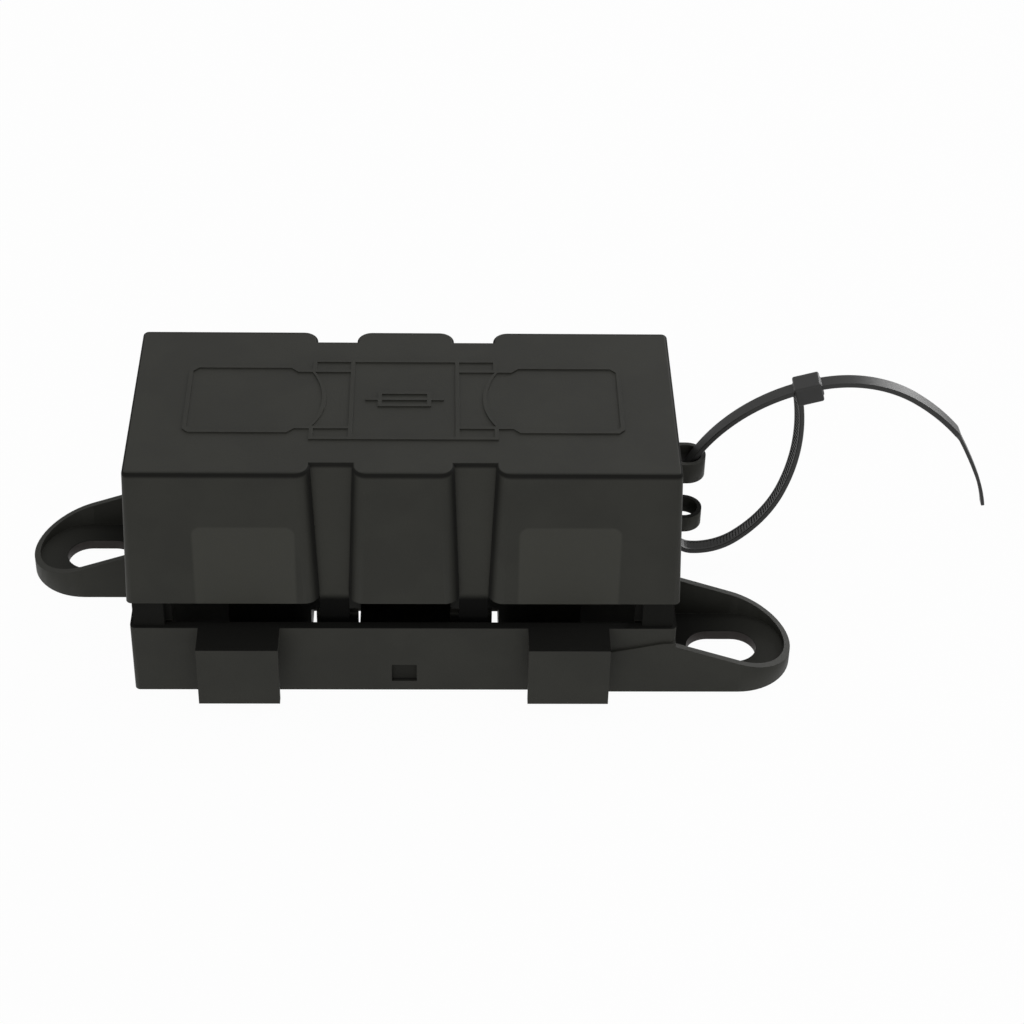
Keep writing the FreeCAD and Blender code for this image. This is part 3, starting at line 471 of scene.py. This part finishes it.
def strap_section(width, thick, groove):
    """Corners of the strap's section as (side, inner): a groove for the teeth on the inner face."""
    side, face, cut = width / 2, thick / 2, TIE_CHAMFER
    rail = side - TIE_RAIL
    return [(-side, -face + cut), (-side + cut, -face), (side - cut, -face), (side, -face + cut),
            (side, face - cut), (side - cut, face), (rail, face), (rail, face - groove),
            (-rail, face - groove), (-rail, face), (-side + cut, face), (-side, face - cut)]


def strap_mesh(points, inner, side, tip_starts):
    """The strap, a section at each point. Past tip_starts along x it is narrower, with hardly a groove."""
    form = bmesh.new()
    rows = []
    for place, inward, across in zip(points, inner, side):
        share = min(max((place[0] - tip_starts) / TIP_BLEND, 0), 1)
        width = TIE_WIDTH + (TIP_WIDTH - TIE_WIDTH) * share
        thick = TIE_THICK + (TIP_THICK - TIE_THICK) * share
        corners = strap_section(width, thick, TIE_GROOVE * (1 - share) + TIP_GROOVE)
        rows.append([form.verts.new(place + across * a + inward * b) for a, b in corners])
    for before, after in zip(rows, rows[1:]):
        for i in range(len(before)):
            j = (i + 1) % len(before)
            form.faces.new((before[i], before[j], after[j], after[i]))
    form.faces.new(rows[0])
    form.faces.new(list(reversed(rows[-1])))
    bmesh.ops.recalc_face_normals(form, faces=form.faces)
    mesh = bpy.data.meshes.new("strap")
    form.to_mesh(mesh)
    form.free()
    return mesh


class Tree:
    """A geometry node tree with named inputs."""

    def __init__(self, name, inputs):
        self.tree = bpy.data.node_groups.new(name, "GeometryNodeTree")
        face = self.tree.interface
        face.new_socket(name="Geometry", in_out="INPUT", socket_type="NodeSocketGeometry")
        for label, kind, value in inputs:
            face.new_socket(name=label, in_out="INPUT", socket_type=kind).default_value = value
        face.new_socket(name="Geometry", in_out="OUTPUT", socket_type="NodeSocketGeometry")
        self.start = self.tree.nodes.new("NodeGroupInput")

    def add(self, kind, settings=None, inputs=None):
        made = self.tree.nodes.new(kind)
        for key, value in (settings or {}).items():
            setattr(made, key, value)
        for key, value in (inputs or {}).items():
            if isinstance(value, bpy.types.NodeSocket):
                self.tree.links.new(value, made.inputs[key])
            else:
                made.inputs[key].default_value = value
        return made

    def end(self, geometry, material):
        real = self.add("GeometryNodeRealizeInstances", None, {"Geometry": geometry})
        inputs = {"Geometry": real.outputs[0], "Material": material}
        painted = self.add("GeometryNodeSetMaterial", None, inputs)
        self.add("NodeGroupOutput", None, {"Geometry": painted.outputs[0]})
        return self.tree


def grown(name, seeds, tree, settings, material, body):
    """Runs a geometry node tree on a mesh of seed points and keeps the result as a plain piece."""
    carrier = bpy.data.objects.new(name + "_seeds", seeds)
    bpy.context.scene.collection.objects.link(carrier)
    modifier = carrier.modifiers.new("grow", "NODES")
    modifier.node_group = tree
    for item in tree.interface.items_tree:
        if item.in_out == "INPUT" and item.name in settings:
            modifier[item.identifier] = settings[item.name]
    mesh = plain_mesh(carrier)
    bpy.data.objects.remove(carrier)
    return new_piece(name, mesh, material, body)


def seed_mesh(name, places, **vectors):
    """A mesh of loose points, with a vector for each point under each name given."""
    mesh = bpy.data.meshes.new(name)
    mesh.from_pydata([tuple(p) for p in places], [], [])
    for key, rows in vectors.items():
        field = mesh.attributes.new(key, "FLOAT_VECTOR", "POINT")
        field.data.foreach_set("vector", np.asarray(rows, np.float32).ravel())
    return mesh


def tooth_tree(material):
    """A ramp-shaped tooth at every seed point, turned to the strap."""
    tree = Tree("strap_teeth", [
        ("Length", "NodeSocketFloat", TOOTH_LENGTH),
        ("Width", "NodeSocketFloat", TIE_WIDTH),
        ("Height", "NodeSocketFloat", TIE_GROOVE)])
    length, width, height = (tree.start.outputs[n] for n in ("Length", "Width", "Height"))
    size = tree.add("ShaderNodeCombineXYZ", None, {"X": length, "Y": width, "Z": height})
    block = tree.add("GeometryNodeMeshCube", None, {"Size": size.outputs[0]})
    place = tree.add("GeometryNodeInputPosition")
    split = tree.add("ShaderNodeSeparateXYZ", None, {"Vector": place.outputs[0]})
    more = {"data_type": "FLOAT", "operation": "GREATER_THAN"}
    ahead = tree.add("FunctionNodeCompare", more, {0: split.outputs["X"], 1: 0.0})
    raised = tree.add("FunctionNodeCompare", more, {0: split.outputs["Z"], 1: 0.0})
    both = {0: ahead.outputs[0], 1: raised.outputs[0]}
    corner = tree.add("FunctionNodeBooleanMath", {"operation": "AND"}, both)
    down = tree.add("ShaderNodeMath", {"operation": "MULTIPLY"}, {0: height, 1: -TOOTH_DROP})
    offset = tree.add("ShaderNodeCombineXYZ", None, {"Z": down.outputs[0]})
    ramp = tree.add("GeometryNodeSetPosition", None, {
        "Geometry": block.outputs["Mesh"], "Selection": corner.outputs[0], "Offset": offset.outputs[0]})
    vector = {"data_type": "FLOAT_VECTOR"}
    along = tree.add("GeometryNodeInputNamedAttribute", vector, {"Name": "along"})
    inner = tree.add("GeometryNodeInputNamedAttribute", vector, {"Name": "inner"})
    turn = tree.add("FunctionNodeAxesToRotation", {"primary_axis": "Z", "secondary_axis": "X"},
                    {"Primary Axis": inner.outputs[0], "Secondary Axis": along.outputs[0]})
    set_out = tree.add("GeometryNodeInstanceOnPoints", None, {
        "Points": tree.start.outputs["Geometry"], "Instance": ramp.outputs[0], "Rotation": turn.outputs[0]})
    return tree.end(set_out.outputs[0], material)


def joined(name, meshes):
    """Several meshes as one."""
    form = bmesh.new()
    for mesh in meshes:
        form.from_mesh(mesh)
    result = bpy.data.meshes.new(name)
    form.to_mesh(result)
    form.free()
    return result


def tie_head_mesh(place, heading):
    """The tie's head: a bevelled block with a low collar round the strap at each end."""
    form = bmesh.new()
    bmesh.ops.create_cube(form, size=1, matrix=Matrix.Diagonal((*HEAD_SIZE, 1)))
    bmesh.ops.create_cube(form, size=1, matrix=Matrix.Diagonal((*COLLAR_SIZE, 1)))
    bmesh.ops.bevel(form, geom=form.edges[:], offset=HEAD_ROUND, segments=3, affect="EDGES", profile=0.5)
    lean = Matrix.Rotation(-heading, 4, "Y")
    form.transform(Matrix.Translation(place) @ lean @ Matrix.Translation((0, 0, -HEAD_DROP)))
    mesh = bpy.data.meshes.new("tie_head")
    form.to_mesh(mesh)
    form.free()
    return mesh


def make_cable_tie(material):
    """The tie as one piece: strap, teeth and head. The first two teeth's places are inside the head."""
    route, head_spot, heading, tip_spot = tie_routes()
    tip_starts = tip_spot[0] * MM
    points, along, inner, side = strap_frames(route)
    strap = strap_mesh(points, inner, side, tip_starts)
    toothed = slice(4, None, 2)
    keep = points[toothed][:, 0] < tip_starts - TIP_BLEND
    depth = TIE_THICK / 2 - TIE_GROOVE / 2
    seats = (points + inner * depth)[toothed][keep]
    seeds = seed_mesh("tooth_seeds", seats, along=along[toothed][keep], inner=inner[toothed][keep])
    settings = {"Length": TOOTH_LENGTH, "Width": TIE_WIDTH - 2 * TIE_RAIL, "Height": TIE_GROOVE}
    teeth = grown("tie_teeth", seeds, tooth_tree(material), settings, material, None)
    head = tie_head_mesh(Vector((head_spot[0] * MM, TIE_Y, head_spot[1] * MM)), heading)
    mesh = joined("cable_tie_piece", [strap, teeth.data, head])
    bpy.data.objects.remove(teeth)
    tie = new_piece("cable_tie_piece", mesh, material, None)
    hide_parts("cable_tie")
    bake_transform(tie)


def thread_radius(z, turn, foot, top):
    """Radius of the thread at a height and an angle, fading out at both ends."""
    phase = (z / THREAD_PITCH - turn / (2 * math.pi)) % 1
    tooth = min(1, 1.35 * (1 - abs(2 * phase - 1)))
    fade_in = max(0, (z - foot) / THREAD_PITCH)
    fade_out = max(0, (top - z) / THREAD_PITCH) * 1.2 + 0.15
    return THREAD_ROOT + (THREAD_CREST - THREAD_ROOT) * tooth * min(1, fade_in, fade_out)


def stud_radius(z, turn, tip):
    """Radius of a stud above its flange: thread, neck and thread again up to its tip."""
    if z <= STUD_NECK_FOOT:
        return thread_radius(z, turn, STUD_DECK + THREAD_START, STUD_NECK_FOOT)
    if z < STUD_NECK_TOP:
        return STUD_NECK_RADIUS
    return thread_radius(z, turn, STUD_NECK_TOP - THREAD_LEAD, tip - THREAD_RUN_OUT)


def make_stud(side, material):
    """The stud above its moulded-in head, with its thread cut as a helix."""
    node = f"stud_{side}"
    low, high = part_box(node)
    axis = (low + high) / 2
    flange_radius = (high.x - low.x) / 2
    form = bmesh.new()
    rows = []
    for z in np.arange(STUD_DECK, high.z, THREAD_PITCH / ROWS_PER_PITCH):
        row = []
        for i in range(THREAD_SIDES):
            turn = 2 * math.pi * i / THREAD_SIDES
            radius = stud_radius(z, turn, high.z)
            spot = (axis.x + radius * math.cos(turn), axis.y + radius * math.sin(turn), z)
            row.append(form.verts.new(spot))
        rows.append(row)
    for below, above in zip(rows, rows[1:]):
        for i in range(THREAD_SIDES):
            j = (i + 1) % THREAD_SIDES
            form.faces.new((below[i], below[j], above[j], above[i]))
    form.faces.new(list(reversed(rows[0])))
    form.faces.new(rows[-1])
    flange = (STUD_FLANGE_FOOT, STUD_DECK, flange_radius, 48)
    hexagon = (low.z, STUD_FLANGE_FOOT, STUD_HEAD_RADIUS, 6)
    for foot, top, radius, sides in (flange, hexagon):
        disc = Matrix.Translation((axis.x, axis.y, (foot + top) / 2)) @ Matrix.Rotation(math.pi / 6, 4, "Z")
        bmesh.ops.create_cone(form, cap_ends=True, segments=sides, radius1=radius, radius2=radius,
                              depth=top - foot, matrix=disc)
    mesh = bpy.data.meshes.new(node + "_threaded")
    form.to_mesh(mesh)
    form.free()
    mesh.shade_smooth()
    mesh.set_sharp_from_angle(angle=STUD_SHARP_ANGLE)
    piece = new_piece(node + "_threaded", mesh, material, "holder")
    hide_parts(node)


def make_moulding(node, material, body):
    """A moulding with softened edges, in place of its plain solid."""
    mesh = softened_copy(node)
    piece = new_piece(node + "_moulding", mesh, material, body)
    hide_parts(node)


def rivet_tree(material):
    """A low domed heat stake at every seed point."""
    tree = Tree("heat_stakes", [
        ("Radius", "NodeSocketFloat", STAKE_RADIUS),
        ("Rise", "NodeSocketFloat", STAKE_RISE)])
    ball = tree.add("GeometryNodeMeshUVSphere", None, {
        "Segments": 20, "Rings": 10, "Radius": tree.start.outputs["Radius"]})
    flat = tree.add("ShaderNodeMath", {"operation": "DIVIDE"},
                    {0: tree.start.outputs["Rise"], 1: tree.start.outputs["Radius"]})
    squeeze = tree.add("ShaderNodeCombineXYZ", None, {"X": 1.0, "Y": 1.0, "Z": flat.outputs[0]})
    set_out = tree.add("GeometryNodeInstanceOnPoints", None, {
        "Points": tree.start.outputs["Geometry"],
        "Instance": ball.outputs["Mesh"],
        "Scale": squeeze.outputs[0]})
    return tree.end(set_out.outputs[0], material)


def make_heat_stakes(material):
    """Four stakes that close the fuse's housing, on its upper half."""
    low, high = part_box("fuse_housing_upper")
    across = (low.x + STAKE_INSET, high.x - STAKE_INSET)
    along = (low.y + STAKE_INSET, high.y - STAKE_INSET)
    spots = [(x, y, high.z - STAKE_SINK) for x in across for y in along]
    seeds = seed_mesh("stake_seeds", spots)
    grown("fuse_heat_stakes", seeds, rivet_tree(material), {}, material, "holder")


def make_camera():
    data = bpy.data.cameras.new("camera")
    data.sensor_width = SENSOR
    data.lens = FOCAL_PIXELS / IMAGE_PIXELS * SENSOR
    data.clip_start, data.clip_end = CLIPPING
    camera = bpy.data.objects.new("camera", data)
    bpy.context.scene.collection.objects.link(camera)
    level = math.cos(CAMERA_DIP)
    ahead = Vector((math.sin(CAMERA_YAW) * level, math.cos(CAMERA_YAW) * level, -math.sin(CAMERA_DIP)))
    right = Vector((math.cos(CAMERA_YAW), -math.sin(CAMERA_YAW), 0))
    up = right.cross(ahead)
    cos, sin = math.cos(CAMERA_ROLL), math.sin(CAMERA_ROLL)
    right, up = right * cos + up * sin, up * cos - right * sin
    camera.matrix_world = Matrix.Translation(CAMERA_PLACE) @ Matrix((right, up, -ahead)).transposed().to_4x4()
    bpy.context.scene.camera = camera


def lamp(name, place, target, width, height, watts):
    data = bpy.data.lights.new(name, "AREA")
    data.shape = "RECTANGLE"
    data.size, data.size_y, data.energy = width, height, watts
    light = bpy.data.objects.new(name, data)
    bpy.context.scene.collection.objects.link(light)
    light.location = place
    light.rotation_mode = "QUATERNION"
    light.rotation_quaternion = (Vector(target) - Vector(place)).to_track_quat("-Z", "Y")


def make_studio():
    """White backdrop and floor, with a broad lamp low in front, one above, and one behind on the right, which
    gives the tie's tail its sheen."""
    world = bpy.data.worlds.new("studio")
    bpy.context.scene.world = world
    world.use_nodes = True
    nodes, links = world.node_tree.nodes, world.node_tree.links
    nodes.clear()
    path = nodes.new("ShaderNodeLightPath")
    shown = path.outputs["Is Camera Ray"]
    for ray in ("Is Glossy Ray", "Is Transmission Ray"):
        either = nodes.new("ShaderNodeMath")
        either.operation = "MAXIMUM"
        links.new(shown, either.inputs[0])
        links.new(path.outputs[ray], either.inputs[1])
        shown = either.outputs[0]
    level = nodes.new("ShaderNodeMix")
    level.inputs["A"].default_value = WORLD_LEVEL
    level.inputs["B"].default_value = 1.0
    links.new(shown, level.inputs["Factor"])
    back = nodes.new("ShaderNodeBackground")
    links.new(level.outputs["Result"], back.inputs["Strength"])
    out = nodes.new("ShaderNodeOutputWorld")
    links.new(back.outputs[0], out.inputs["Surface"])

    mesh = bpy.data.meshes.new("floor")
    corners = [(x * FLOOR_REACH, y * FLOOR_REACH, 0) for x, y in ((-1, -1), (1, -1), (1, 1), (-1, 1))]
    mesh.from_pydata(corners, [], [(0, 1, 2, 3)])
    floor = bpy.data.objects.new("floor", mesh)
    bpy.context.scene.collection.objects.link(floor)
    floor.location.z = -FLOOR_DROP
    paint = Paint("floor_white")
    white = paint.node("ShaderNodeBsdfDiffuse", None, {"Color": FLOOR_COLOUR})
    glow = paint.node("ShaderNodeEmission", None, {"Color": (1, 1, 1, 1), "Strength": 1.0})
    shown = paint.node("ShaderNodeLightPath", output="Is Camera Ray")
    for ray in ("Is Glossy Ray", "Is Transmission Ray"):
        shown = shown.above(paint.node("ShaderNodeLightPath", output=ray))
    mixed = paint.node("ShaderNodeMixShader", None, [shown * FLOOR_GLOW, white, glow])
    paint.node("ShaderNodeOutputMaterial", None, {"Surface": mixed})
    mesh.materials.append(paint.material)

    for row in LAMPS:
        lamp(*row)
    bpy.context.scene.view_settings.view_transform = "Standard"


make_camera()
make_studio()

cover_black = moulded_nylon("cover_nylon", cover_shading)
base_black = moulded_nylon("base_nylon", base_shading)
tie_black = tie_nylon()
zinc = plated_metal("zinc_plating", ZINC, 0.28)
spring = plated_metal("spring_plating", SPRING, 0.36)
tin = plated_metal("tin_plating", TIN, 0.22)
housing = housing_plastic()

make_moulding("cover", cover_black, "lid")
make_moulding("base", base_black, "holder")
make_cable_tie(tie_black)
for stud_side in ("left", "right"):
    make_stud(stud_side, zinc)
make_heat_stakes(housing)

finishes = {
    "flat_washer": zinc,
    "spring_washer": spring,
    "nut": zinc,
    "fuse_element": tin,
    "fuse_housing": housing,
}
for label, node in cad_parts.items():
    for start, finish in finishes.items():
        if label.startswith(start):
            node.data.materials.clear()
            node.data.materials.append(finish)
